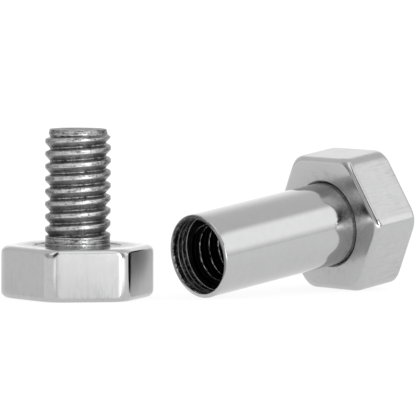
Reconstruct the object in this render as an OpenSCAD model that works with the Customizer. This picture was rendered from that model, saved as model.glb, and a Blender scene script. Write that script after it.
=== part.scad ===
// Ear tunnel in two halves that screw together, unscrewed and laid out on a table.
// The stud half stands on its hexagonal head. The tube half lies beside it, resting
// on the rim of its mouth and on one flat of its head.
// Millimetres, +Z up, the origin at table height in the middle of the two halves.

/* [Hexagonal heads] */
// Distance across the flats of both heads
across_flats = 13.3; // [12.8:0.1:14.5]
// Thickness of the head that carries the stud
stud_head_h = 5.1; // [4.5:0.1:6]
// Thickness of the head that carries the tube
tube_head_h = 5.4; // [4.5:0.1:6]
// Radius of the polished edges between the flats and the faces
edge_r = 0.5; // [0.3:0.05:0.7]
// Radius of the six upright corners
corner_r = 0.85; // [0.5:0.05:1.5]
// How far below each face the corners are turned down
corner_drop = 0.9; // [0.7:0.1:1.2]

/* [Threaded stud] */
// Height of the stud above its head
stud_l = 11.2; // [10:0.1:12]
// Diameter over the crests of the thread
thread_d = 6.4; // [6.2:0.05:6.6]
// Diameter at the roots of the thread
thread_root_d = 5.4; // [5.2:0.05:5.5]
// Distance from one turn of the thread to the next
thread_pitch = 1.22; // [1.1:0.01:1.4]
// Width of a root of the thread, as a share of the pitch
thread_root_share = 0.1; // [0.06:0.01:0.3]
// How far above the foot of its root a crest begins, as a share of the pitch
thread_crest_at = 0.52; // [0.4:0.01:0.6]
// Width of a crest of the thread, as a share of the pitch
thread_crest_share = 0.26; // [0.15:0.01:0.3]
// Turn of the stud about its axis in its head, in degrees, which shifts its crests up or down
thread_turn = 138; // [0:1:360]
// Diameter of the plain neck between the thread and the head
neck_d = 6.3; // [6.1:0.05:6.5]
// Height of the plain neck
neck_h = 0.85; // [0.8:0.05:1.6]
// Diameter of the flat face at the stud's tip
tip_d = 5.5; // [5.5:0.05:5.9]
// Depth that the stud is pressed into its head
stud_seat_depth = 3; // [2:0.1:3.5]
// Depth of the round recess in the stud's head that takes the mouth of the tube
face_recess_depth = 0.15; // [0.1:0.05:0.4]
// Diameter of that recess
face_recess_d = 8.45; // [8.4:0.05:9]

/* [Threaded tube] */
// Outer diameter of the tube, the gauge of the piercing that it is worn in
tube_d = 8.25; // [8.1:0.05:8.5]
// Length of the tube from its head to its mouth
tube_l = 17; // [16:0.1:20]
// Diameter of the smooth counterbore inside the mouth
mouth_d = 7.3; // [7.1:0.05:7.5]
// Depth of the counterbore
mouth_depth = 1.75; // [1.5:0.05:2.5]
// Depth of the threaded hole, from the mouth to its last turn
thread_hole_depth = 12.8; // [12.5:0.1:13.5]
// Clearance round the stud in the threaded hole, on the radius
thread_clearance = 0.08; // [0.05:0.01:0.12]
// Diameter of the drilled end of the hole, past its last turn
drill_d = 5; // [4.5:0.1:5.2]
// Depth of the drilled end
drill_depth = 0.8; // [0.5:0.1:1.5]
// Depth that the tube is pressed into its head
tube_seat_depth = 1.5; // [1:0.1:2.5]
// Width of the chamfer round the tube's seat
seat_chamfer = 0.2; // [0.1:0.05:0.3]

/* [Fits] */
// Gap left round the stud and the tube in their seats, on the radius
seat_gap = 0.05; // [0.03:0.01:0.1]

/* [Places on the table] */
// Where the stud's axis stands, to the right of the origin
stud_x = -12.8; // [-15:0.1:-11]
// Where the stud's axis stands, behind the origin
stud_y = -5.9; // [-8:0.1:-3]
// Turn of the stud half about its axis, in degrees
stud_turn = 10.5; // [0:0.5:30]
// Where the middle of the tube head's inner face is, to the right of the origin
tube_x = 11.5; // [11:0.1:14]
// Where the middle of the tube head's inner face is, behind the origin
tube_y = 4.2; // [2:0.1:6]
// Heading of the tube from its mouth to its head, in degrees to the right of straight back
tube_heading = 48.5; // [45:0.5:55]

/* [Hidden] */
$fn = 96;

// The disc that turns the corners down stays clear of the middles of the flats.
flat_margin = 0.05;
corner_circle_r = across_flats / 2 + flat_margin + corner_drop;
// Cuts run this far past a face.
cut_past = 1;

// The tube half tips forward about the lower edge of its head until its rim meets the table.
rest_drop = across_flats / 2 - edge_r - tube_d / 2;
rest_run = tube_l + edge_r;
tip_angle = acos(-edge_r / norm([rest_drop, rest_run])) - atan2(rest_run, rest_drop);
tube_z = tube_l * sin(tip_angle) + tube_d / 2 * cos(tip_angle);

// The thread is a grid of columns round the axis and rows that climb with the helix.
thread_columns = 48;
rows_per_turn = 4;
// Rows nearer than this to an end are left out.
row_margin = 0.02;
// The thread starts inside the neck, a little narrower than the neck is.
neck_inset = 0.05;
neck_sink = 0.25;

// How many turns up each row lies: root start, root end, crest start and crest end of each turn.
function row_share(j) =
    let (k = floor(j / rows_per_turn), m = j - k * rows_per_turn)
    k + [0, thread_root_share, thread_crest_at, thread_crest_at + thread_crest_share][m];

// Radius of the thread at a share of a turn, between the root and crest radii.
function thread_r(share, root_r, crest_r) =
    lookup(share - floor(share), [
        [0, root_r],
        [thread_root_share, root_r],
        [thread_crest_at, crest_r],
        [thread_crest_at + thread_crest_share, crest_r],
        [1, root_r]
    ]);

// Largest radius allowed at a height: one limit below the foot, and a 45 degree chamfer at the top.
function limit_r(z, foot, top, foot_r, top_r) =
    z < foot ? foot_r : top_r + (top - z);

// A right-hand threaded rod from z0 to z1, closed by flat ends.
module thread_rod(z0, z1, root_r, crest_r, foot, foot_r, top_r) {
    n = thread_columns;
    rows = rows_per_turn * (ceil((z1 - z0) / thread_pitch) + 2);
    function z_at(i, j) = z0 + thread_pitch * (row_share(j) + i / n - 1);
    function r_at(i, z) =
        min(thread_r((z - z0) / thread_pitch - i / n, root_r, crest_r),
            limit_r(z, foot, z1, foot_r, top_r));
    function point(i, z, r) = [r * cos(360 * i / n), r * sin(360 * i / n), z];
    // The rows of each column that lie between the ends, with one more at either end.
    inside = [for (i = [0:n - 1])
        [for (j = [0:rows - 1]) if (z_at(i, j) > z0 + row_margin && z_at(i, j) < z1 - row_margin) j]];
    first = [for (i = [0:n - 1]) inside[i][0] - 1];
    last = [for (i = [0:n - 1]) inside[i][len(inside[i]) - 1] + 1];
    points = [
        for (i = [0:n - 1], j = [0:rows - 1])
            let (z = j <= first[i] ? z0 : j >= last[i] ? z1 : z_at(i, j))
            point(i, z, r_at(i, z)),
        [0, 0, z0],
        [0, 0, z1]
    ];
    // A full turn later, a column is the first one again, one turn of rows higher.
    function id(i, j) =
        let (c = i % n, row = j + rows_per_turn * floor(i / n))
        c * rows + max(first[c], min(last[c], row));
    sides = [
        for (i = [0:n - 1], j = [-rows_per_turn:rows - 1])
            let (a = id(i, j), b = id(i + 1, j), c = id(i + 1, j + 1), d = id(i, j + 1))
            each [if (a != d && d != c && a != c) [a, d, c], if (a != c && c != b && a != b) [a, c, b]]
    ];
    ends = [
        for (i = [0:n - 1])
            let (k = (i + 1) % n)
            each [
                [n * rows, i * rows + first[i], k * rows + first[k]],
                [n * rows + 1, k * rows + last[k], i * rows + last[i]]
            ]
    ];
    polyhedron(points = points, faces = concat(sides, ends));
}

// A rectangle with round corners that stands on the x axis.
module round_rectangle(w, h, r) {
    translate([-w / 2 + r, 0]) square([w - 2 * r, h]);
    translate([-w / 2, r]) square([w, h - 2 * r]);
    for (x = [-w / 2 + r, w / 2 - r], y = [r, h - r]) translate([x, y]) circle(r);
}

// A round disc with rounded edges.
module round_disc(r, h, edge) {
    rotate_extrude() {
        square([r - edge, h]);
        translate([0, edge]) square([r, h - 2 * edge]);
        for (y = [edge, h - edge]) translate([r - edge, y]) circle(edge);
    }
}

// A hexagon whose corners are arcs that run into its sides.
module round_hexagon() {
    corner_at = across_flats / sqrt(3) - 2 * corner_r / sqrt(3);
    corners = [for (turn = [0:60:300]) corner_at * [cos(turn), sin(turn)]];
    for (c = corners) translate(c) circle(corner_r);
    polygon([
        for (k = [0:5], side = [-30, 30])
            corners[k] + corner_r * [cos(60 * k + side), sin(60 * k + side)]
    ]);
}

// A hexagonal head below z = 0: crossed bars round its long edges, and a disc turns its corners down.
module hex_head(h) {
    bar_l = 2 * across_flats;
    translate([0, 0, -h]) intersection() {
        linear_extrude(h) round_hexagon();
        round_disc(corner_circle_r, h, corner_drop);
        intersection_for (turn = [0, 60, 120])
            rotate([90, 0, turn + 90]) linear_extrude(bar_l, center = true)
                round_rectangle(across_flats, h, edge_r);
    }
}

// Stands the stud half on the table, its axis upright.
module place_stud_half() {
    translate([stud_x, stud_y, stud_head_h]) rotate([0, 0, stud_turn]) children();
}

// Lays the tube half down on its rim and on one flat.
module place_tube_half() {
    translate([tube_x, tube_y, tube_z]) rotate([90 + tip_angle, 0, -tube_heading]) children();
}

module stud_head() {
    color("silver") place_stud_half() difference() {
        hex_head(stud_head_h);
        translate([0, 0, -face_recess_depth]) cylinder(d = face_recess_d, h = face_recess_depth + cut_past);
        translate([0, 0, -stud_seat_depth])
            cylinder(d = neck_d + 2 * seat_gap, h = stud_seat_depth + cut_past);
    }
}

module threaded_stud() {
    color("gray") place_stud_half() rotate([0, 0, thread_turn]) union() {
        translate([0, 0, -stud_seat_depth]) cylinder(d = neck_d, h = stud_seat_depth + neck_h);
        thread_rod(neck_h - neck_sink, stud_l, thread_root_d / 2, thread_d / 2,
            neck_h + neck_sink, neck_d / 2 - neck_inset, tip_d / 2);
    }
}

module tube_head() {
    color("silver") place_tube_half() difference() {
        hex_head(tube_head_h);
        translate([0, 0, -tube_seat_depth])
            cylinder(d = tube_d + 2 * seat_gap, h = tube_seat_depth + cut_past);
        translate([0, 0, -seat_chamfer])
            cylinder(d1 = tube_d + 2 * seat_gap, d2 = tube_d + 2 * (seat_gap + 2 * seat_chamfer),
                h = 2 * seat_chamfer);
    }
}

// The thread in the tube is cut from the mouth down, so it is the stud's own thread upside down.
module threaded_tube() {
    hole_root_r = thread_root_d / 2 + thread_clearance;
    hole_crest_r = thread_d / 2 + thread_clearance;
    hole_end = tube_l - thread_hole_depth;
    color("lightgray") place_tube_half() difference() {
        translate([0, 0, -tube_seat_depth]) cylinder(d = tube_d, h = tube_seat_depth + tube_l);
        translate([0, 0, tube_l - mouth_depth]) cylinder(d = mouth_d, h = mouth_depth + cut_past);
        translate([0, 0, tube_l]) rotate([180, 0, 0])
            thread_rod(mouth_depth / 2, thread_hole_depth, hole_root_r, hole_crest_r,
                mouth_depth / 2, hole_crest_r, hole_crest_r);
        translate([0, 0, hole_end - drill_depth]) cylinder(d = drill_d, h = drill_depth + cut_past);
    }
}

stud_head();
threaded_stud();
tube_head();
threaded_tube();
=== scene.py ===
# %% [markdown]
# # An ear tunnel, unscrewed
# The object is a bolt-style ear tunnel of polished stainless steel. One half is a stud with a
# thread on it, the other is a tube with a thread inside it, and each has a hexagonal head. The
# stud half stands on its head and the tube half leans on the rim of its mouth.
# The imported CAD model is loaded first. It is the fixed frame: every piece made below stands
# where its solid stands, and is only finer and better finished.

# %% Load the frame
import math

import bmesh
import bpy
import numpy as np
from mathutils import Matrix, Vector


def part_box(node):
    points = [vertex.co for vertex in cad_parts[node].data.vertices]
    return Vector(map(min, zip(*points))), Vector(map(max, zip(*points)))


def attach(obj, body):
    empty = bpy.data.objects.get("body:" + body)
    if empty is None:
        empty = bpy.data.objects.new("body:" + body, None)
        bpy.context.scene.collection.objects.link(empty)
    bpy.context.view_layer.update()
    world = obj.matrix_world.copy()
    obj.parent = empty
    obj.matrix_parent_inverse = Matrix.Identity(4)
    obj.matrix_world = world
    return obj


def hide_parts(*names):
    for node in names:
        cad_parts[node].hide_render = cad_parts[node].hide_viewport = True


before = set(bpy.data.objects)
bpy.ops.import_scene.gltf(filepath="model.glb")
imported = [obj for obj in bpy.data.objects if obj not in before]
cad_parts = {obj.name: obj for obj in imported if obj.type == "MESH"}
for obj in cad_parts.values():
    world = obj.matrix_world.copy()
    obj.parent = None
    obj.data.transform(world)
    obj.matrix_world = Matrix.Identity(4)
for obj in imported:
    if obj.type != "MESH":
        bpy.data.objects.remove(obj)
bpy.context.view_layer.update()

MM = 0.001

# %% [markdown]
# ## The sizes
# A threaded part has to fit its partner, so the finer pieces use the very sizes that the solids
# were made from. They are written in millimetres once, here, and every shape below is worked
# out from them. Each half has a place of its own, in which z = 0 is the inner face of its head
# and z points along the stud or towards the tube's mouth.

# %% Sizes in millimetres
ACROSS_FLATS = 13.3
STUD_HEAD_H = 5.1
TUBE_HEAD_H = 5.4
EDGE_R = 0.5
CORNER_R = 0.85
CORNER_DROP = 0.9
TURNED_R = ACROSS_FLATS / 2 + 0.05 + CORNER_DROP

STUD_L = 11.2
THREAD_R = 3.2
ROOT_R = 2.7
PITCH = 1.22
THREAD_TURN = 138
NECK_R = 3.15
NECK_H = 0.85
THREAD_START = NECK_H - 0.25
TIP_R = 2.75
STUD_SEAT = 3.0
SEAT_GAP = 0.05
RECESS_R = 4.225
RECESS_DEPTH = 0.15

TUBE_R = 4.125
TUBE_L = 17.0
TUBE_SEAT = 1.5
MOUTH_R = 3.65
MOUTH_DEPTH = 1.75
STEP_Z = TUBE_L - MOUTH_DEPTH
BORE_GROOVES = (0.59, 1.13)
HOLE_DEPTH = 12.8
CLEARANCE = 0.08
DRILL_R = 2.5
DRILL_DEPTH = 0.8
SEAT_CHAMFER = 0.2
print("the stud's thread is", CLEARANCE, "mm clear of the tube's, all round")

# %% [markdown]
# ## Where the halves lie
# The stud half is turned a little about its upright axis. The tube half tips forward about the
# lower edge of its head until the rim of its mouth meets the table, so its tilt isn't chosen:
# it follows from the sizes of the head and the tube. Both places become matrices, and each
# piece is made round its own axis and then put in place by one of them.

# %% Places of the two halves
STUD_X = -12.8
STUD_Y = -5.9
STUD_TURN = 10.5
TUBE_X = 11.5
TUBE_Y = 4.2
TUBE_HEADING = 48.5
stud_place = Matrix.Translation(Vector((STUD_X, STUD_Y, STUD_HEAD_H)) * MM) @ Matrix.Rotation(
    math.radians(STUD_TURN), 4, "Z")

rest_drop = ACROSS_FLATS / 2 - EDGE_R - TUBE_R
rest_run = TUBE_L + EDGE_R
tip_angle = math.acos(-EDGE_R / math.hypot(rest_drop, rest_run)) - math.atan2(rest_run, rest_drop)
tube_z = TUBE_L * math.sin(tip_angle) + TUBE_R * math.cos(tip_angle)
tube_place = (
    Matrix.Translation(Vector((TUBE_X, TUBE_Y, tube_z)) * MM)
    @ Matrix.Rotation(math.radians(-TUBE_HEADING), 4, "Z")
    @ Matrix.Rotation(math.radians(90) + tip_angle, 4, "X")
)
print("the tube half tips forward by", round(math.degrees(tip_angle), 2), "degrees")

# %% [markdown]
# ## One way to make turned parts
# Everything here was made on a lathe or is nearly round: a section that changes along one axis.
# Such a part can be built as a stack of rings, each with the same number of points, and a skin
# of four-sided faces between them. A ring's radius may differ from point to point, and that one
# liberty is enough for a hexagon and for a thread as well. The skin starts and ends in a point
# on the axis, so each piece is closed. Angles stay sharp where two turned faces meet and are
# shaded smooth everywhere else. Every point also remembers where it was before the piece was
# put in place, in millimetres from the piece's own axis, and which way that axis points now.
# A third note is the same place with the thread's climb taken out, counted from the back of the
# piece, where its one jump is out of sight. The materials read these notes, so their patterns
# run round the axis, along it or with the thread, as the marks of the tools do.

# %% Rings and skins
SAME_POINT_WITHIN = 0.0005
SHARP_FROM_DEGREES = 38


def ring(angles, z, radius):
    radius = np.broadcast_to(radius, angles.shape)
    return np.column_stack([radius * np.cos(angles), radius * np.sin(angles), np.full(angles.shape, z)])


def rings_of(angles, profile):
    """A ring for each (z, radius) of a profile."""
    return [ring(angles, z, radius) for z, radius in profile]


def quarter(z, radius, z_side, r_side, size, steps=6, backwards=False):
    """(z, radius) pairs round a quarter circle that turns from a flat face to a wall, or back."""
    turns = [math.radians(90 * k / steps) for k in range(steps + 1)]
    bend = [
        (z + z_side * size * (math.cos(t) - 1), radius + r_side * size * (math.sin(t) - 1)) for t in turns
    ]
    return bend[::-1] if backwards else bend


def skin(name, stacks, materials, place, node):
    """One closed piece: stacks are (rings, material number), from the point at one end to the other."""
    rings = []
    numbers = []
    for stack, number in stacks:
        rings += stack
        numbers += [number] * len(stack)
    count = len(rings[0])
    points = np.vstack(rings + [[[0, 0, rings[0][0, 2]]], [[0, 0, rings[-1][0, 2]]]]) * MM
    start = len(points) - 2
    end = start + 1
    last = (len(rings) - 1) * count
    faces = []
    for k in range(len(rings) - 1):
        for i in range(count):
            j = (i + 1) % count
            faces.append((k * count + i, k * count + j, (k + 1) * count + j, (k + 1) * count + i))
    for i in range(count):
        j = (i + 1) % count
        faces.append((start, j, i))
        faces.append((end, last + i, last + j))
    mesh = bpy.data.meshes.new(name)
    mesh.from_pydata(points.tolist(), [], faces)
    face_numbers = np.repeat(numbers[1:], count).tolist() + [numbers[0], numbers[-1]] * count
    mesh.polygons.foreach_set("material_index", face_numbers)
    shell = bmesh.new()
    shell.from_mesh(mesh)
    bmesh.ops.remove_doubles(shell, verts=shell.verts, dist=SAME_POINT_WITHIN * MM)
    bmesh.ops.recalc_face_normals(shell, faces=shell.faces)
    shell.to_mesh(mesh)
    shell.free()
    for material in materials:
        mesh.materials.append(material)
    mesh.shade_smooth()
    mesh.set_sharp_from_angle(angle=math.radians(SHARP_FROM_DEGREES))
    own = np.empty(len(mesh.vertices) * 3)
    mesh.vertices.foreach_get("co", own)
    mesh.attributes.new("own_place", "FLOAT_VECTOR", "POINT").data.foreach_set("vector", own / MM)
    own = own.reshape(-1, 3)
    past_back = (np.arctan2(own[:, 1], own[:, 0]) - math.pi / 2) % (2 * math.pi)
    unwound = own - np.outer(past_back, [0, 0, PITCH * MM / (2 * math.pi)])
    mesh.attributes.new("unwound", "FLOAT_VECTOR", "POINT").data.foreach_set("vector", unwound.ravel() / MM)
    axis = np.tile(place.col[2][:3], len(mesh.vertices))
    mesh.attributes.new("own_axis", "FLOAT_VECTOR", "POINT").data.foreach_set("vector", axis)
    mesh.transform(place)
    piece = bpy.data.objects.new(name, mesh)
    bpy.context.scene.collection.objects.link(piece)
    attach(piece, "root")
    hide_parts(node)
    low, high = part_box(node)
    corners = np.array([v.co for v in mesh.vertices])
    over = max(np.max(np.array(low) - corners.min(0)), np.max(corners.max(0) - np.array(high)))
    print(name, len(mesh.polygons), "faces; past its solid's box by", round(over / MM, 4), "mm")
    return piece


print("an edge of", EDGE_R, "mm is bent in", len(quarter(0, 1, 1, 1, EDGE_R)) - 1, "steps")

# %% [markdown]
# ## Nodes and colours
# Paint programs store colours as sRGB, and a renderer counts in linear light, so one function
# turns a hex value into what the shader needs. Another adds a node: its settings go in by name,
# its sockets by a dictionary, and a socket that is given another node's output is linked to it.

# %% Two helpers for materials
def colour(hex_code):
    shares = [int(hex_code[k:k + 2], 16) / 255 for k in (1, 3, 5)]
    linear = [s / 12.92 if s <= 0.04045 else ((s + 0.055) / 1.055) ** 2.4 for s in shares]
    return (*linear, 1.0)


def add(tree, kind, sockets=None, **settings):
    """Adds a node. A value that is a socket is linked, and any other value is set."""
    made = tree.nodes.new(kind)
    for name, value in settings.items():
        setattr(made, name, value)
    for name, value in (sockets or {}).items():
        if isinstance(value, bpy.types.NodeSocket):
            tree.links.new(value, made.inputs[name])
        else:
            made.inputs[name].default_value = value
    return made


def new_material(name):
    material = bpy.data.materials.new(name)
    material.use_nodes = True
    material.node_tree.nodes.clear()
    return material


print("hex 80 is", round(colour("#808080")[0], 3), "in linear light")

# %% [markdown]
# ## Milled and buffed steel, for the sides of the heads
# The heads are 316L stainless steel. A mill cuts the flats, tumbling rounds the edges, and a
# buffing wheel brings up the shine. What is left is a blurred mirror with fine lines along the
# axis, where the mill passed and the buff didn't reach the bottom of its marks. Such lines blur
# a reflection across themselves far more than along themselves, so the highlight is stretched
# with the axis as its tangent. The lines are about 0.02 mm apart on the real part, too fine for
# the render, so they are drawn 0.09 mm apart. They come in patches, so a slow pattern decides
# where they are deep, and they are deepest near the outer end, where a head is gripped. The
# wheel presses on edges and corners, so these are smooth, and only the true flats stay matt.
# In the photograph the stud's head was buffed less than the tube's, so there are two of them.

# %% Milled and buffed steel
LINE_GAP = 0.09
FLAT_WITHIN = 0.02
SMOOTH_EDGE = 0.12
GRIP_STARTS = -2.0
GRIP_FULL = -4.5


def milled_steel(name, least_matt, most_matt):
    material = new_material(name)
    tree = material.node_tree
    place = add(tree, "ShaderNodeAttribute", attribute_name="own_place").outputs["Vector"]
    axis = add(tree, "ShaderNodeAttribute", attribute_name="own_axis")
    stretched = add(tree, "ShaderNodeMapping", {
        "Vector": place, "Scale": (1 / LINE_GAP, 1 / LINE_GAP, 0.07 / LINE_GAP)})
    lines = add(tree, "ShaderNodeTexNoise", {
        "Vector": stretched.outputs[0], "Scale": 0.6, "Detail": 3.0, "Roughness": 0.65})
    patches = add(tree, "ShaderNodeTexNoise", {
        "Vector": place, "Scale": 0.35, "Detail": 2.0, "Roughness": 0.5})
    haze = add(tree, "ShaderNodeTexNoise", {"Vector": place, "Scale": 1.3, "Detail": 5.0, "Roughness": 0.7})
    across = 0.0
    for turn in (30, 90, 150):
        towards = (math.cos(math.radians(turn)), math.sin(math.radians(turn)), 0.0)
        reach = add(tree, "ShaderNodeVectorMath", {0: place, 1: towards}, operation="DOT_PRODUCT")
        either = add(tree, "ShaderNodeMath", {0: reach.outputs["Value"]}, operation="ABSOLUTE")
        farthest = add(tree, "ShaderNodeMath", {0: either.outputs[0], 1: across}, operation="MAXIMUM")
        across = farthest.outputs[0]
    on_flat = add(tree, "ShaderNodeMapRange", {
        "Value": across, "From Min": ACROSS_FLATS / 2 - FLAT_WITHIN, "From Max": ACROSS_FLATS / 2 - 0.002})
    along = add(tree, "ShaderNodeSeparateXYZ", {"Vector": place})
    gripped = add(tree, "ShaderNodeMapRange", {
        "Value": along.outputs["Z"], "From Min": GRIP_STARTS, "From Max": GRIP_FULL, "To Min": 0.25,
        "To Max": 0.7})
    patchy = add(tree, "ShaderNodeMapRange", {
        "Value": patches.outputs["Fac"], "From Min": 0.35, "From Max": 0.65, "To Min": 0.0,
        "To Max": gripped.outputs[0]})
    deep = add(tree, "ShaderNodeMapRange", {
        "Value": lines.outputs["Fac"], "From Min": 0.48, "From Max": 0.78})
    scratched = add(tree, "ShaderNodeMath", {0: deep.outputs[0], 1: patchy.outputs[0]}, operation="MULTIPLY")
    tint = add(tree, "ShaderNodeMix", {
        "Factor": haze.outputs["Fac"], "A": colour("#B2B2B3"), "B": colour("#C2C2C2")}, data_type="RGBA")
    lined = add(tree, "ShaderNodeMix", {
        "Factor": scratched.outputs[0], "A": tint.outputs["Result"], "B": colour("#98989A")},
        data_type="RGBA")
    matt = add(tree, "ShaderNodeMapRange", {
        "Value": scratched.outputs[0], "To Min": least_matt, "To Max": most_matt})
    roughness = add(tree, "ShaderNodeMapRange", {
        "Value": on_flat.outputs[0], "To Min": SMOOTH_EDGE, "To Max": matt.outputs[0]})
    wavy = add(tree, "ShaderNodeBump", {
        "Height": patches.outputs["Fac"], "Strength": 1.0, "Distance": 0.02 * MM})
    scored = add(tree, "ShaderNodeBump", {
        "Height": lines.outputs["Fac"], "Strength": 1.0, "Distance": 0.003 * MM, "Normal": wavy.outputs[0]})
    steel = add(tree, "ShaderNodeBsdfPrincipled", {
        "Base Color": lined.outputs["Result"], "Metallic": 1.0, "Roughness": roughness.outputs[0],
        "Anisotropic": 0.7, "Tangent": axis.outputs["Vector"], "Normal": scored.outputs[0]})
    add(tree, "ShaderNodeOutputMaterial", {"Surface": steel.outputs[0]})
    return material


brushed_steel = milled_steel("milled_and_brushed_316L_steel", least_matt=0.44, most_matt=0.54)
buffed_steel = milled_steel("milled_and_buffed_316L_steel", least_matt=0.24, most_matt=0.42)
print("materials", brushed_steel.name, buffed_steel.name)

# %% [markdown]
# ## Faced and buffed steel, for the ends of the heads
# The two ends of a head are turned flat and then held against the buff, so they are smoother
# than the flats: a mirror that is only a little wavy. Small pits, about 0.1 mm across, show as
# grey specks. On the inner face, near the stud or the tube, the wheel couldn't reach, and there
# a thin film of old polish has dried in blots.

# %% Faced and buffed steel
PIT_GAP = 0.5
FILM_FULL_R = 4.2
FILM_EDGE_R = 6.3


def faced_steel():
    material = new_material("faced_and_buffed_316L_steel")
    tree = material.node_tree
    place = add(tree, "ShaderNodeAttribute", attribute_name="own_place").outputs["Vector"]
    flat = add(tree, "ShaderNodeVectorMath", {0: place, 1: (1.0, 1.0, 0.0)}, operation="MULTIPLY")
    from_axis = add(tree, "ShaderNodeVectorMath", {0: flat.outputs[0]}, operation="LENGTH")
    near = add(tree, "ShaderNodeMapRange", {
        "Value": from_axis.outputs["Value"], "From Min": FILM_FULL_R, "From Max": FILM_EDGE_R,
        "To Min": 1.0, "To Max": 0.0})
    along = add(tree, "ShaderNodeSeparateXYZ", {"Vector": place})
    inner_end = add(tree, "ShaderNodeMath", {
        0: along.outputs["Z"], 1: -STUD_HEAD_H / 2}, operation="GREATER_THAN")
    unreached = add(tree, "ShaderNodeMath", {
        0: near.outputs[0], 1: inner_end.outputs[0]}, operation="MULTIPLY")
    waves = add(tree, "ShaderNodeTexNoise", {"Vector": place, "Scale": 0.4, "Detail": 1.5, "Roughness": 0.4})
    haze = add(tree, "ShaderNodeTexNoise", {"Vector": place, "Scale": 1.1, "Detail": 6.0, "Roughness": 0.72})
    pits = add(tree, "ShaderNodeTexVoronoi", {"Vector": place, "Scale": 1 / PIT_GAP, "Randomness": 1.0})
    hole = add(tree, "ShaderNodeMapRange", {
        "Value": pits.outputs["Distance"], "From Min": 0.04, "From Max": 0.14, "To Min": 1.0, "To Max": 0.0})
    worn = add(tree, "ShaderNodeMapRange", {
        "Value": haze.outputs["Fac"], "From Min": 0.48, "From Max": 0.62})
    pitted = add(tree, "ShaderNodeMath", {0: hole.outputs[0], 1: worn.outputs[0]}, operation="MULTIPLY")
    thick = add(tree, "ShaderNodeMapRange", {"Value": worn.outputs[0], "To Min": 0.45, "To Max": 1.0})
    blot = add(tree, "ShaderNodeMath", {
        0: unreached.outputs[0], 1: thick.outputs[0]}, operation="MULTIPLY")
    tint = add(tree, "ShaderNodeMix", {
        "Factor": haze.outputs["Fac"], "A": colour("#AEAEAF"), "B": colour("#BABABA")}, data_type="RGBA")
    darkened = add(tree, "ShaderNodeMix", {
        "Factor": blot.outputs[0], "A": tint.outputs["Result"], "B": colour("#ACACAD")}, data_type="RGBA")
    speckled = add(tree, "ShaderNodeMix", {
        "Factor": pitted.outputs[0], "A": darkened.outputs["Result"], "B": colour("#909091")}, data_type="RGBA")
    roughness = add(tree, "ShaderNodeMapRange", {
        "Value": blot.outputs[0], "To Min": 0.13, "To Max": 0.6})
    wavy = add(tree, "ShaderNodeBump", {
        "Height": waves.outputs["Fac"], "Strength": 1.0, "Distance": 0.025 * MM})
    sunk = add(tree, "ShaderNodeBump", {
        "Height": pitted.outputs[0], "Strength": 1.0, "Distance": -0.006 * MM, "Normal": wavy.outputs[0]})
    steel = add(tree, "ShaderNodeBsdfPrincipled", {
        "Base Color": speckled.outputs["Result"], "Metallic": 1.0, "Roughness": roughness.outputs[0],
        "Normal": sunk.outputs[0]})
    add(tree, "ShaderNodeOutputMaterial", {"Surface": steel.outputs[0]})
    return material


faces_steel = faced_steel()
print("material", faces_steel.name)

# %% [markdown]
# ## Turned and buffed steel, for the outside of the tube
# The tube is turned to its gauge and then polished while it spins, because it has to slide
# through skin. It is the brightest and smoothest surface here: nearly a mirror, with very faint
# rings round its axis. The rings are real at about 0.05 mm, and drawn at 0.15 mm. The wheel
# can't get into the corner by the head, so the two millimetres next to it are mottled and duller.

# %% Turned and buffed steel
RING_GAP = 0.15
DULLEST_AT = 0.2
DULL_UNTIL = 2.4


def turned_steel():
    material = new_material("turned_and_buffed_316L_steel")
    tree = material.node_tree
    place = add(tree, "ShaderNodeAttribute", attribute_name="own_place").outputs["Vector"]
    along = add(tree, "ShaderNodeSeparateXYZ", {"Vector": place})
    near = add(tree, "ShaderNodeMapRange", {
        "Value": along.outputs["Z"], "From Min": DULLEST_AT, "From Max": DULL_UNTIL, "To Min": 1.0,
        "To Max": 0.0})
    stretched = add(tree, "ShaderNodeMapping", {
        "Vector": place, "Scale": (0.04 / RING_GAP, 0.04 / RING_GAP, 1 / RING_GAP)})
    rings = add(tree, "ShaderNodeTexNoise", {
        "Vector": stretched.outputs[0], "Scale": 0.6, "Detail": 2.0, "Roughness": 0.5})
    waves = add(tree, "ShaderNodeTexNoise", {"Vector": place, "Scale": 0.25, "Detail": 1.0, "Roughness": 0.4})
    haze = add(tree, "ShaderNodeTexNoise", {"Vector": place, "Scale": 1.2, "Detail": 6.0, "Roughness": 0.72})
    worn = add(tree, "ShaderNodeMapRange", {
        "Value": haze.outputs["Fac"], "From Min": 0.42, "From Max": 0.62})
    blot = add(tree, "ShaderNodeMath", {0: near.outputs[0], 1: worn.outputs[0]}, operation="MULTIPLY")
    tint = add(tree, "ShaderNodeMix", {
        "Factor": haze.outputs["Fac"], "A": colour("#B4B4B5"), "B": colour("#BEBEBE")}, data_type="RGBA")
    darkened = add(tree, "ShaderNodeMix", {
        "Factor": blot.outputs[0], "A": tint.outputs["Result"], "B": colour("#A2A2A3")}, data_type="RGBA")
    roughness = add(tree, "ShaderNodeMapRange", {
        "Value": blot.outputs[0], "To Min": 0.085, "To Max": 0.42})
    wavy = add(tree, "ShaderNodeBump", {
        "Height": waves.outputs["Fac"], "Strength": 1.0, "Distance": 0.007 * MM})
    ringed = add(tree, "ShaderNodeBump", {
        "Height": rings.outputs["Fac"], "Strength": 1.0, "Distance": 0.0008 * MM, "Normal": wavy.outputs[0]})
    steel = add(tree, "ShaderNodeBsdfPrincipled", {
        "Base Color": darkened.outputs["Result"], "Metallic": 1.0, "Roughness": roughness.outputs[0],
        "Normal": ringed.outputs[0]})
    add(tree, "ShaderNodeOutputMaterial", {"Surface": steel.outputs[0]})
    return material


tube_steel = turned_steel()
print("material", tube_steel.name)
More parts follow.
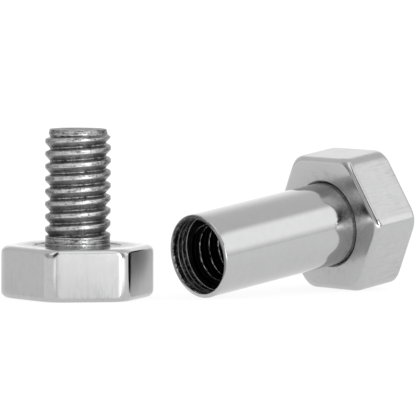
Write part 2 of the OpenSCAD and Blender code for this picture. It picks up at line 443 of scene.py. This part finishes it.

# %% [markdown]
# ## Cut steel, for the threads and the hole
# No buff reaches into a thread. Its steel is as the tool left it: duller, darker, with lines
# along the cut and torn specks. A darker colour is laid on by the distance from the axis, which
# tells root from crest: on the stud it is a film of old polish and oil and also painted shade in
# the roots. Three noises break it up: slow mottling, fine grit and the lines of the cut, which
# climb with the thread. Each is weighed so that the three together keep one mean. The real lines
# are some 0.02 mm apart and are drawn 0.09 mm apart.
# One recipe serves three surfaces. On the stud the flanks that look down are painted lighter,
# painted light from the glowing table below, and a painted shade darkens the colour wherever the
# surface is seen at a slant, which darkens both sides of the stud. The counterbore is painted a
# dark grey, painted shade inside the mouth, with bright rings painted as highlights beside its
# step and along the two grooves that the boring tool left. The tapped hole is painted near-black,
# painted shade deep in the hole, but for its crests, which are lighter in thin lines.

# %% Cut steel
TOOL_GAP = 0.09
# Width of each bright ring painted in as a highlight.
PAINTED_HIGHLIGHT_WIDTH = 0.1
MOTTLING = 4.0
GRIT = 3.6
CUTS = 3.8
MEAN_WEAR = 0.8
WEAR_RANGE = 1.6
# Colour of the painted shade where the surface is seen at a slant.
PAINTED_SLANT_SHADE = "#2A2A2B"


def cut_steel(name, darkened_r, bare_r, bare, darkened, bare_rough, darkened_rough, grain, worn,
              contrast=1.0, painted_light_below=0.0, slant_shade_share=0.0, painted_highlight_rings=()):
    material = new_material(name)
    tree = material.node_tree
    place = add(tree, "ShaderNodeAttribute", attribute_name="own_place").outputs["Vector"]
    flat = add(tree, "ShaderNodeVectorMath", {0: place, 1: (1.0, 1.0, 0.0)}, operation="MULTIPLY")
    from_axis = add(tree, "ShaderNodeVectorMath", {0: flat.outputs[0]}, operation="LENGTH")
    height = add(tree, "ShaderNodeMapRange", {
        "Value": from_axis.outputs["Value"], "From Min": darkened_r, "From Max": bare_r, "To Max": contrast})
    facing = add(tree, "ShaderNodeSeparateXYZ", {
        "Vector": add(tree, "ShaderNodeNewGeometry").outputs["Normal"]})
    # Flanks facing down are painted lighter: painted light from the glowing table below.
    below = add(tree, "ShaderNodeMapRange", {
        "Value": facing.outputs["Z"], "From Min": -0.1, "From Max": -0.55, "To Min": 0.0,
        "To Max": painted_light_below})
    crest_and_lit = add(tree, "ShaderNodeMath", {0: height.outputs[0], 1: below.outputs[0]}, operation="ADD")
    unwound = add(tree, "ShaderNodeAttribute", attribute_name="unwound")
    stretched = add(tree, "ShaderNodeMapping", {
        "Vector": unwound.outputs["Vector"], "Scale": (0.1 / TOOL_GAP, 0.1 / TOOL_GAP, 1 / TOOL_GAP)})
    cuts = add(tree, "ShaderNodeTexNoise", {
        "Vector": stretched.outputs[0], "Scale": 0.7, "Detail": 3.0, "Roughness": 0.6})
    mottle = add(tree, "ShaderNodeTexNoise", {"Vector": place, "Scale": 1.6, "Detail": 6.0, "Roughness": 0.8})
    grit = add(tree, "ShaderNodeTexNoise", {"Vector": place, "Scale": 5.0, "Detail": 3.0, "Roughness": 0.7})
    wear = MEAN_WEAR - (MOTTLING + GRIT + CUTS) / 2
    for noise, weight in ((mottle, MOTTLING), (grit, GRIT), (cuts, CUTS)):
        wear = add(tree, "ShaderNodeMath", {
            0: noise.outputs["Fac"], 1: weight, 2: wear}, operation="MULTIPLY_ADD").outputs[0]
    worn_and_lit = add(tree, "ShaderNodeMath", {0: crest_and_lit.outputs[0], 1: wear}, operation="ADD")
    light_colour_share = add(tree, "ShaderNodeMapRange", {
        "Value": worn_and_lit.outputs[0], "From Min": worn, "From Max": worn + WEAR_RANGE}).outputs[0]
    along = add(tree, "ShaderNodeSeparateXYZ", {"Vector": place}).outputs["Z"]
    # Bright rings painted in as highlights.
    for at in painted_highlight_rings:
        off = add(tree, "ShaderNodeMath", {0: along, 1: at}, operation="SUBTRACT")
        away = add(tree, "ShaderNodeMath", {0: off.outputs[0]}, operation="ABSOLUTE")
        band = add(tree, "ShaderNodeMapRange", {
            "Value": away.outputs[0], "From Min": 0.0, "From Max": PAINTED_HIGHLIGHT_WIDTH,
            "To Min": 1.0, "To Max": 0.0})
        light_colour_share = add(tree, "ShaderNodeMath", {0: light_colour_share, 1: band.outputs[0]}, operation="MAXIMUM").outputs[0]
    # Towards the darker colour: on the stud a film of old polish and oil that is also painted shade in the
    # roots, and in the counterbore and the hole painted shade.
    tint = add(tree, "ShaderNodeMix", {
        "Factor": light_colour_share, "A": colour(darkened), "B": colour(bare)}, data_type="RGBA")
    # Painted shade that grows as the surface is seen at a slant.
    grazing = add(tree, "ShaderNodeMapRange", {
        "Value": add(tree, "ShaderNodeLayerWeight").outputs["Facing"],
        "From Min": 0.06, "From Max": 0.5, "To Min": 0.0, "To Max": slant_shade_share})
    shaded = add(tree, "ShaderNodeMix", {
        "Factor": grazing.outputs[0], "A": tint.outputs["Result"], "B": colour(PAINTED_SLANT_SHADE)}, data_type="RGBA")
    roughness = add(tree, "ShaderNodeMapRange", {
        "Value": light_colour_share, "To Min": darkened_rough, "To Max": bare_rough})
    scored = add(tree, "ShaderNodeBump", {
        "Height": cuts.outputs["Fac"], "Strength": 1.0, "Distance": grain * MM})
    gritty = add(tree, "ShaderNodeBump", {
        "Height": grit.outputs["Fac"], "Strength": 1.0, "Distance": grain * MM, "Normal": scored.outputs[0]})
    steel = add(tree, "ShaderNodeBsdfPrincipled", {
        "Base Color": shaded.outputs["Result"], "Metallic": 1.0, "Roughness": roughness.outputs[0],
        "Normal": gritty.outputs[0]})
    add(tree, "ShaderNodeOutputMaterial", {"Surface": steel.outputs[0]})
    return material


# The stud's darker roots are film and painted shade.
stud_steel = cut_steel(
    "rolled_thread_316L_steel", darkened_r=ROOT_R - 0.4, bare_r=THREAD_R, bare="#CCCCCC", darkened="#464647",
    bare_rough=0.28, darkened_rough=0.45, grain=0.03, worn=0.45, painted_light_below=0.45, slant_shade_share=0.7)
# The counterbore's dark grey is painted shade, and its bright rings are painted highlights.
bored_steel = cut_steel(
    "bored_316L_steel", darkened_r=MOUTH_R + 0.1, bare_r=MOUTH_R - 0.1, bare="#F0F0F0", darkened="#3A3A3B",
    bare_rough=0.55, darkened_rough=0.35, grain=0.006, worn=1.1,
    painted_highlight_rings=[STEP_Z + at for at in (0.06, *BORE_GROOVES)])
# The near-black is painted shade deep in the hole.
tapped_steel = cut_steel(
    "tapped_316L_steel", darkened_r=ROOT_R + CLEARANCE + 0.1, bare_r=ROOT_R + CLEARANCE, bare="#C8C8C8",
    darkened="#0A0A0B", bare_rough=0.35, darkened_rough=0.3, grain=0.002, worn=2.6, contrast=3.6)
print("materials", stud_steel.name, bored_steel.name, tapped_steel.name)

# %% [markdown]
# ## The hexagonal heads
# A head is a slice of round-cornered hexagonal bar. A modeller could bevel a six-sided prism,
# but a real head has several roundings that run into each other: the buff draws the ends of the
# flats in a little before the corners begin, the long edges are rounded alike, and a cutter that
# turns with the head takes the six corners down further. So the outline is drawn by its bends:
# half a side is flat, then bends eight degrees gently, then turns the corner. An edge's rounding
# draws that line in by the same distance everywhere, and it meets the turned disc's radius in a
# soft minimum that blends the two as tumbling does. The rings have more points near the corners,
# where the outline bends most.

# %% Outline of a head
CORNER_POINTS = 30
SIDE_POINTS = 12
BLEND = 0.3
CROWN_BEND = 8
CROWN_R = 4.5
BELOW_EDGE = [0.58, 0.67, 0.78, CORNER_DROP, 1.05]
FACE_INSET = 0.04
corner_zone = math.radians(12)
corner_steps = np.linspace(-corner_zone, corner_zone, CORNER_POINTS)
side_steps = np.linspace(corner_zone, math.radians(60) - corner_zone, SIDE_POINTS + 2)[1:-1]
head_angles = np.concatenate([
    math.radians(60) * k + np.concatenate([corner_steps, side_steps]) for k in range(6)])

bends = np.radians(np.linspace(0, 30, 241))
bend_r = np.where(bends[:-1] < math.radians(CROWN_BEND), CROWN_R, CORNER_R)
middles = (bends[1:] + bends[:-1]) / 2
drawn_in = np.append(0, np.cumsum(bend_r * np.sin(middles) * np.diff(bends)))
sideways = np.append(0, np.cumsum(bend_r * np.cos(middles) * np.diff(bends)))
bend_x = ACROSS_FLATS / 2 - drawn_in
bend_y = bend_x[-1] * math.tan(math.radians(30)) - sideways[-1] + sideways
print("flat part of a side:", round(2 * bend_y[0], 2), "mm")


def edge_inset(depth, size):
    """How far a quarter-circle edge of that size has drawn the outline in, at a depth below its face."""
    if depth >= size:
        return 0.0
    return size - math.sqrt(size ** 2 - (size - depth) ** 2)


def soft_minimum(a, b, blend):
    near = np.maximum(blend - np.abs(a - b), 0) / blend
    return np.minimum(a, b) - near ** 2 * blend / 4


def head_outline(depth):
    """The head's radius at each angle, at a depth below the nearer face."""
    inset = edge_inset(depth, EDGE_R)
    from_middle = np.abs(head_angles % math.radians(60) - math.radians(30))
    x = bend_x - inset * np.cos(bends)
    y = bend_y - inset * np.sin(bends)
    bent = np.interp(from_middle, np.arctan2(y, x), np.hypot(x, y))
    flat = (ACROSS_FLATS / 2 - inset) / np.cos(from_middle)
    hexagon = np.where(from_middle < math.atan2(y[0], x[0]), flat, bent)
    disc = TURNED_R - edge_inset(depth, CORNER_DROP)
    return soft_minimum(hexagon, disc, BLEND)


def head_wall(height):
    """Rings from the outer face, z = -height, over both rounded edges to the inner face, z = 0."""
    turns = np.radians(np.linspace(0, 90, 10))
    depths = list(EDGE_R * (1 - np.cos(turns))) + BELOW_EDGE
    lower = [ring(head_angles, depth - height, head_outline(depth)) for depth in depths]
    upper = [ring(head_angles, -depth, head_outline(depth)) for depth in reversed(depths)]
    return lower + upper


def head_skin(name, height, inside, place, flats_steel):
    """The whole head: its outer end, its wall, and its inner end with the hole."""
    rim = head_outline(0) - FACE_INSET
    outer_end = [ring(head_angles, -height, rim)]
    inner_end = [ring(head_angles, 0, rim)] + rings_of(head_angles, inside)
    stacks = [(outer_end, 1), (head_wall(height), 0), (inner_end, 1)]
    return skin(name, stacks, [flats_steel, faces_steel], place, name)


print("head outline:", len(head_angles), "points a ring")

# %% [markdown]
# ## The stud's head
# Its inner face has a shallow round recess that takes the rim of the tube when the halves are
# screwed together, and the stud is pressed into a hole in the middle. The rest of this piece is
# plain, so the sharp lip of the recess and the rounded edges are what the light picks out.

# %% Head of the stud half
LIP = 0.04
stud_hole_r = NECK_R + SEAT_GAP
head_skin("stud_head", STUD_HEAD_H, [
    (0, RECESS_R + 3 * LIP),
    *quarter(0, RECESS_R + LIP, 1, -1, LIP, 3),
    (-RECESS_DEPTH, RECESS_R),
    (-RECESS_DEPTH, RECESS_R - LIP),
    (-RECESS_DEPTH, stud_hole_r + LIP),
    (-RECESS_DEPTH, stud_hole_r),
    (-STUD_SEAT, stud_hole_r),
], stud_place, brushed_steel)

# %% [markdown]
# ## The tube's head
# The same hexagon, slightly thicker. The tube sits in a round seat whose lip is broken by a
# small chamfer, which shows as a thin dark line with a bright one beside it.

# %% Head of the tube half
tube_hole_r = TUBE_R + SEAT_GAP
head_skin("tube_head", TUBE_HEAD_H, [
    (0, tube_hole_r + SEAT_CHAMFER + 0.06),
    (0, tube_hole_r + SEAT_CHAMFER),
    (-SEAT_CHAMFER, tube_hole_r),
    (-TUBE_SEAT, tube_hole_r),
], tube_place, buffed_steel)

# %% [markdown]
# ## The shape of the thread
# A thread is one groove that climbs a pitch in every turn. It could be made with a Screw
# modifier, but the stud needs a chamfered tip and a neck, and the tube a counterbore, all
# without a seam. In a stack of rings the thread is only a rule for the radius: how far up the
# turn is this point, and what does the profile say there? The profile is a blunt crest, a steep
# flank above it and a longer one below it, softened as rolled and worn threads are.

# %% Profile of the thread
PROFILE = [(0.0, 0.0), (0.07, 0.0), (0.52, 1.0), (0.8, 1.0), (0.97, 0.0), (1.0, 0.0)]
SOFTENING = 0.06


def thread_share(turn):
    """0 at the root and 1 at the crest, for a place given in turns up the thread."""
    places = [point[0] for point in PROFILE]
    heights = [point[1] for point in PROFILE]
    shifts = np.linspace(-SOFTENING, SOFTENING, 9)
    return np.mean([np.interp((turn + shift) % 1, places, heights) for shift in shifts], axis=0)


def thread_ring_radius(turn, root_r, crest_r):
    return root_r + (crest_r - root_r) * thread_share(turn)


print("thread: helix angle", round(math.degrees(math.atan(PITCH / (2 * math.pi * THREAD_R))), 2), "degrees")

# %% [markdown]
# ## The threaded stud
# From the head up: a plain neck with two fine turned grooves, some eight turns of thread, and a
# chamfer that leads it into the tube and round which the groove fades out. The end is flat.
# The rings lie 0.045 mm apart on the thread, half a pixel in the photograph's frame.

# %% Threaded stud
ROUND_POINTS = 240
STUD_STEP = 0.045
NECK_GROOVES = (0.18, 0.62)
NECK_GROOVE_DEPTH = 0.035
GROOVE_WIDTH = 0.05
CHAMFER_H = 0.75
KNEE_H = 0.5
KNEE_OUT = 0.12
FADED_H = 0.45
TIP_SOFT = 0.08
round_angles = np.linspace(0, 2 * math.pi, ROUND_POINTS, endpoint=False)


def neck_radius(z):
    """The neck's radius with its two turned grooves."""
    grooves = sum(NECK_GROOVE_DEPTH * math.exp(-((z - at) / GROOVE_WIDTH) ** 2) for at in NECK_GROOVES)
    return NECK_R - grooves


neck = [(-STUD_SEAT, NECK_R - 0.03), (-STUD_SEAT, NECK_R)]
neck += [(z, neck_radius(z)) for z in np.linspace(-RECESS_DEPTH, NECK_H - 0.05, 40)]
neck += quarter(NECK_H, NECK_R, 1, 1, 0.05, 4, True)[1:]

stud_rings = []
for z in np.arange(NECK_H, STUD_L + STUD_STEP / 2, STUD_STEP):
    z = min(z, STUD_L)
    turn = (z - THREAD_START) / PITCH - (round_angles - math.radians(THREAD_TURN)) / (2 * math.pi)
    thread = thread_ring_radius(turn, ROOT_R, THREAD_R)
    fading = np.interp(z, [STUD_L - CHAMFER_H, STUD_L - FADED_H], [ROOT_R, TIP_R + TIP_SOFT])
    thread = np.maximum(thread, fading)
    chamfer = np.interp(
        z, [STUD_L - CHAMFER_H, STUD_L - KNEE_H, STUD_L], [THREAD_R, TIP_R + KNEE_OUT, TIP_R])
    radius = soft_minimum(thread, np.full(thread.shape, chamfer), TIP_SOFT)
    stud_rings.append(ring(round_angles, z, radius))
tip = stud_rings[-1][:, :2]
tip_r = np.hypot(tip[:, 0], tip[:, 1])
tip_rings = [ring(round_angles, STUD_L, tip_r - 0.03), ring(round_angles, STUD_L, 0.9 * TIP_R)]
skin("threaded_stud", [(rings_of(round_angles, neck) + stud_rings + tip_rings, 0)], [stud_steel],
     stud_place, "threaded_stud")

# %% [markdown]
# ## The threaded tube
# One turned piece, bright outside and dull inside: the wall, a rim with both edges broken, a
# smooth counterbore, the step at its bottom, the thread that takes the stud, and the drilled end
# far inside. Three steels share the piece: buffed outside, bored from the inner edge of the rim
# down to the step, and tapped below it.

# %% Threaded tube
RIM_EDGE = 0.14
INNER_EDGE = 0.1
HOLE_STEP = 0.06
BORE_GROOVE_DEPTH = 0.02
hole_end = TUBE_L - HOLE_DEPTH


def counterbore_radius(z):
    """The counterbore's wall with two shallow grooves left by the boring tool."""
    grooves = sum(
        BORE_GROOVE_DEPTH * math.exp(-((z - STEP_Z - at) / GROOVE_WIDTH) ** 2) for at in BORE_GROOVES)
    return MOUTH_R + grooves


outside = [(-TUBE_SEAT, TUBE_R - 0.05), (-TUBE_SEAT, TUBE_R), (0, TUBE_R)]
outside += [(z, TUBE_R) for z in np.linspace(1, TUBE_L - 1, 16)]
outside += quarter(TUBE_L, TUBE_R, 1, 1, RIM_EDGE, 6, True)
outside += [(TUBE_L, MOUTH_R + INNER_EDGE)]
inside = [
    (TUBE_L + INNER_EDGE * (math.cos(t) - 1), MOUTH_R + INNER_EDGE * (1 - math.sin(t)))
    for t in np.radians(np.linspace(15, 90, 6))
]
inside += [(z, counterbore_radius(z)) for z in np.linspace(TUBE_L - INNER_EDGE - 0.05, STEP_Z + 0.02, 50)]
inside += [(STEP_Z, MOUTH_R - 0.02)]
hole = []
for z in np.arange(STEP_Z, hole_end - HOLE_STEP / 2, -HOLE_STEP):
    z = max(z, hole_end)
    turn = (TUBE_L - MOUTH_DEPTH / 2 - z) / PITCH + round_angles / (2 * math.pi)
    hole.append(ring(round_angles, z, thread_ring_radius(turn, ROOT_R + CLEARANCE, THREAD_R + CLEARANCE)))
hole_bottom = rings_of(round_angles, [
    (hole_end, DRILL_R + 0.02), (hole_end - 0.02, DRILL_R), (hole_end - DRILL_DEPTH, DRILL_R),
    (hole_end - DRILL_DEPTH, DRILL_R - 0.05)])
skin("threaded_tube", [
    (rings_of(round_angles, outside), 0),
    (rings_of(round_angles, inside), 1),
    (hole + hole_bottom, 2),
], [tube_steel, bored_steel, tapped_steel], tube_place, "threaded_tube")

# %% [markdown]
# ## The camera
# The photograph was taken from low down, looking only four degrees downwards, with a long lens.
# The camera's place and lens were fitted to the object's corners in the photograph. The small
# roll is the photograph's own.

# %% Camera
LENS_MM = 432.7
LOOK_DOWN = 4.0
ROLL = 0.345
CAMERA_AT = (-0.187, -489.212, 42.514)
SENSOR_MM = 36
camera_data = bpy.data.cameras.new("camera")
camera_data.lens = LENS_MM
camera_data.sensor_width = SENSOR_MM
camera = bpy.data.objects.new("camera", camera_data)
bpy.context.scene.collection.objects.link(camera)
camera.matrix_world = (
    Matrix.Translation(Vector(CAMERA_AT) * MM)
    @ Matrix.Rotation(math.radians(90 - LOOK_DOWN), 4, "X")
    @ Matrix.Rotation(math.radians(ROLL), 4, "Z")
)
camera_data.clip_start = 0.02
camera_data.clip_end = 20
bpy.context.scene.camera = camera
print("camera at", [round(x / MM, 1) for x in camera.matrix_world.translation], "mm")

# %% [markdown]
# ## The table
# The photograph was taken on a light table, which glows white and so leaves hardly a shadow. A
# large disc with a little of both does the same: most of its white is its own glow and the rest
# is lit, so that a faint shade still shows where the steel touches it. In front of the stud's head
# a brighter pool of glow is painted into the table, standing for a lamp under it. It can't be told
# from the rest of the white table, but the front flat mirrors it, and that is why that flat is the
# brightest.

# %% Light table
TABLE_RADIUS = 4.0
GLOW = 0.86
LIT_SHARE = 0.2
LAMP_GLOW = 2.3
LAMP_AT = (11.0, -52.0, 0.0)
LAMP_CORE = 10
LAMP_REACH = 36
table_material = new_material("opal_acrylic_light_table")
table_tree = table_material.node_tree
sheen = add(table_tree, "ShaderNodeTexNoise", {"Scale": 30.0, "Detail": 3.0})
lit_rough = add(table_tree, "ShaderNodeMapRange", {
    "Value": sheen.outputs["Fac"], "To Min": 0.75, "To Max": 0.85})
on_table = add(table_tree, "ShaderNodeTexCoord").outputs["Object"]
from_lamp = add(table_tree, "ShaderNodeVectorMath", {
    0: on_table, 1: [x * MM for x in LAMP_AT]}, operation="DISTANCE")
# The painted pool of glow round LAMP_AT, brighter towards its middle.
glow = add(table_tree, "ShaderNodeMapRange", {
    "Value": from_lamp.outputs["Value"], "From Min": LAMP_CORE * MM, "From Max": LAMP_REACH * MM,
    "To Min": GLOW + LAMP_GLOW, "To Max": GLOW}, interpolation_type="SMOOTHSTEP")
lit = add(table_tree, "ShaderNodeBsdfPrincipled", {
    "Base Color": (LIT_SHARE, LIT_SHARE, LIT_SHARE, 1.0), "Roughness": lit_rough.outputs[0],
    "Specular IOR Level": 0.0, "Emission Color": (1.0, 1.0, 1.0, 1.0), "Emission Strength": glow.outputs[0]})
add(table_tree, "ShaderNodeOutputMaterial", {"Surface": lit.outputs[0]})
disc = bmesh.new()
bmesh.ops.create_circle(disc, cap_ends=True, segments=96, radius=TABLE_RADIUS)
table_mesh = bpy.data.meshes.new("light_table")
disc.to_mesh(table_mesh)
disc.free()
table_mesh.materials.append(table_material)
light_table = bpy.data.objects.new("light_table", table_mesh)
bpy.context.scene.collection.objects.link(light_table)
print("light table of", TABLE_RADIUS, "m")

# %% [markdown]
# ## The light tent
# Polished steel has next to no colour of its own: it shows the room. So the room is what has
# to be right. The tent is painted in the world shader by direction: white walls of different
# brightness, given at a few azimuths, and over them soft-edged patches. These are a dimmer roof,
# a large softbox on the right, one above and to either side of the camera, and the dark stand
# over the camera, which draws the dark lines and hooks along the rounded edges. The camera itself
# sees plain white behind the object.
# Azimuth 0 is straight behind the object, 90 is to the right, and 180 is the camera's side.

# %% Light tent
WALLS = [(-180, 0.08), (-174, 0.08), (-168, 0.65), (-140, 0.65), (-118, 0.5), (-103, 0.55), (-95, 0.85),
         (-48, 0.85), (-38, 1.2), (40, 1.2), (50, 0.95), (112, 0.95), (122, 0.65), (138, 0.35),
         (152, 0.4), (160, 0.6), (168, 0.6), (174, 0.08), (180, 0.08)]
BRIGHTEST = 2.0
ROOF = 0.84
SOFTBOX = 1.5
FRONT_BOXES = 1.45
STAND = 0.05

world = bpy.data.worlds.new("light_tent")
bpy.context.scene.world = world
world.use_nodes = True
tent = world.node_tree
tent.nodes.clear()
towards = add(tent, "ShaderNodeTexCoord").outputs["Generated"]
direction = add(tent, "ShaderNodeSeparateXYZ", {"Vector": towards})
heading = add(tent, "ShaderNodeMath", {
    0: direction.outputs["X"], 1: direction.outputs["Y"]}, operation="ARCTAN2")
azimuth = add(tent, "ShaderNodeMath", {0: heading.outputs[0]}, operation="DEGREES").outputs[0]
raised = add(tent, "ShaderNodeMath", {0: direction.outputs["Z"]}, operation="ARCSINE")
elevation = add(tent, "ShaderNodeMath", {0: raised.outputs[0]}, operation="DEGREES").outputs[0]
off_back = add(tent, "ShaderNodeMath", {0: azimuth}, operation="ABSOLUTE").outputs[0]
share = add(tent, "ShaderNodeMapRange", {"Value": azimuth, "From Min": -180.0, "From Max": 180.0})
walls = add(tent, "ShaderNodeValToRGB", {"Fac": share.outputs[0]})
stops = walls.color_ramp.elements
while len(stops) > 1:
    stops.remove(stops[0])
for number, (at, level) in enumerate(WALLS):
    position = (at + 180) / 360
    stop = stops[0] if number == 0 else stops.new(position)
    stop.position = position
    stop.color = (level / BRIGHTEST, level / BRIGHTEST, level / BRIGHTEST, 1)
wall_level = add(tent, "ShaderNodeMath", {0: walls.outputs["Color"], 1: BRIGHTEST}, operation="MULTIPLY")


def patch(behind, level, edges):
    """Lays a level over the tent. An edge is (coordinate, where it starts, where it is full)."""
    shape = 1.0
    for coordinate, start, full in edges:
        edge = add(tent, "ShaderNodeMapRange", {
            "Value": coordinate, "From Min": float(start), "From Max": float(full)},
            interpolation_type="SMOOTHSTEP")
        shape = add(tent, "ShaderNodeMath", {0: edge.outputs[0], 1: shape}, operation="MULTIPLY").outputs[0]
    laid = add(tent, "ShaderNodeMix", {"Factor": shape, "A": behind, "B": level}, data_type="FLOAT")
    return laid.outputs["Result"]


roofed = patch(wall_level.outputs[0], ROOF, [(elevation, 24, 54)])
boxed = patch(roofed, SOFTBOX, [
    (azimuth, 76, 84), (azimuth, 118, 110), (elevation, 0, 16), (elevation, 52, 40)])
front_lit = patch(boxed, FRONT_BOXES, [
    (off_back, 128, 138), (off_back, 172, 165), (elevation, 20, 34), (elevation, 88, 76)])
lit_tent = patch(front_lit, STAND, [(off_back, 168, 173), (elevation, 0, 10), (elevation, 66, 56)])
seen = add(tent, "ShaderNodeLightPath")
shown = add(tent, "ShaderNodeMix", {
    "Factor": seen.outputs["Is Camera Ray"], "A": lit_tent, "B": 1.0}, data_type="FLOAT")
background = add(tent, "ShaderNodeBackground", {
    "Color": (1.0, 1.0, 1.0, 1.0), "Strength": shown.outputs["Result"]})
add(tent, "ShaderNodeOutputWorld", {"Surface": background.outputs[0]})
print("tent with", len(WALLS), "wall levels")

# %% [markdown]
# ## The strip light
# One narrow upright light stands in front, to the right. It is the bright line down the stud's
# neck and thread and the white stripe on the front flat. The lamp itself isn't seen by the camera.

# %% Strip light
STRIP_AZIMUTH = 150
STRIP_DISTANCE = 0.4
STRIP_WIDTH = 0.06
STRIP_HEIGHT = 0.16
STRIP_POWER = 0.3
strip_data = bpy.data.lights.new("strip_light", "AREA")
strip_data.shape = "RECTANGLE"
strip_data.size = STRIP_WIDTH
strip_data.size_y = STRIP_HEIGHT
strip_data.energy = STRIP_POWER
strip = bpy.data.objects.new("strip_light", strip_data)
bpy.context.scene.collection.objects.link(strip)
aim = Vector((STUD_X, STUD_Y, 0)) * MM
away = Vector((math.sin(math.radians(STRIP_AZIMUTH)), math.cos(math.radians(STRIP_AZIMUTH)), 0))
strip.location = aim + away * STRIP_DISTANCE + Vector((0, 0, STRIP_HEIGHT / 2))
strip.rotation_euler = away.to_track_quat("Z", "Y").to_euler()
strip.visible_camera = False
print("strip light of", STRIP_WIDTH / MM, "by", STRIP_HEIGHT / MM, "mm")

# %% [markdown]
# ## Finish
# The Standard view keeps white white, as the photograph does.

# %% Finish
bpy.context.scene.view_settings.view_transform = "Standard"
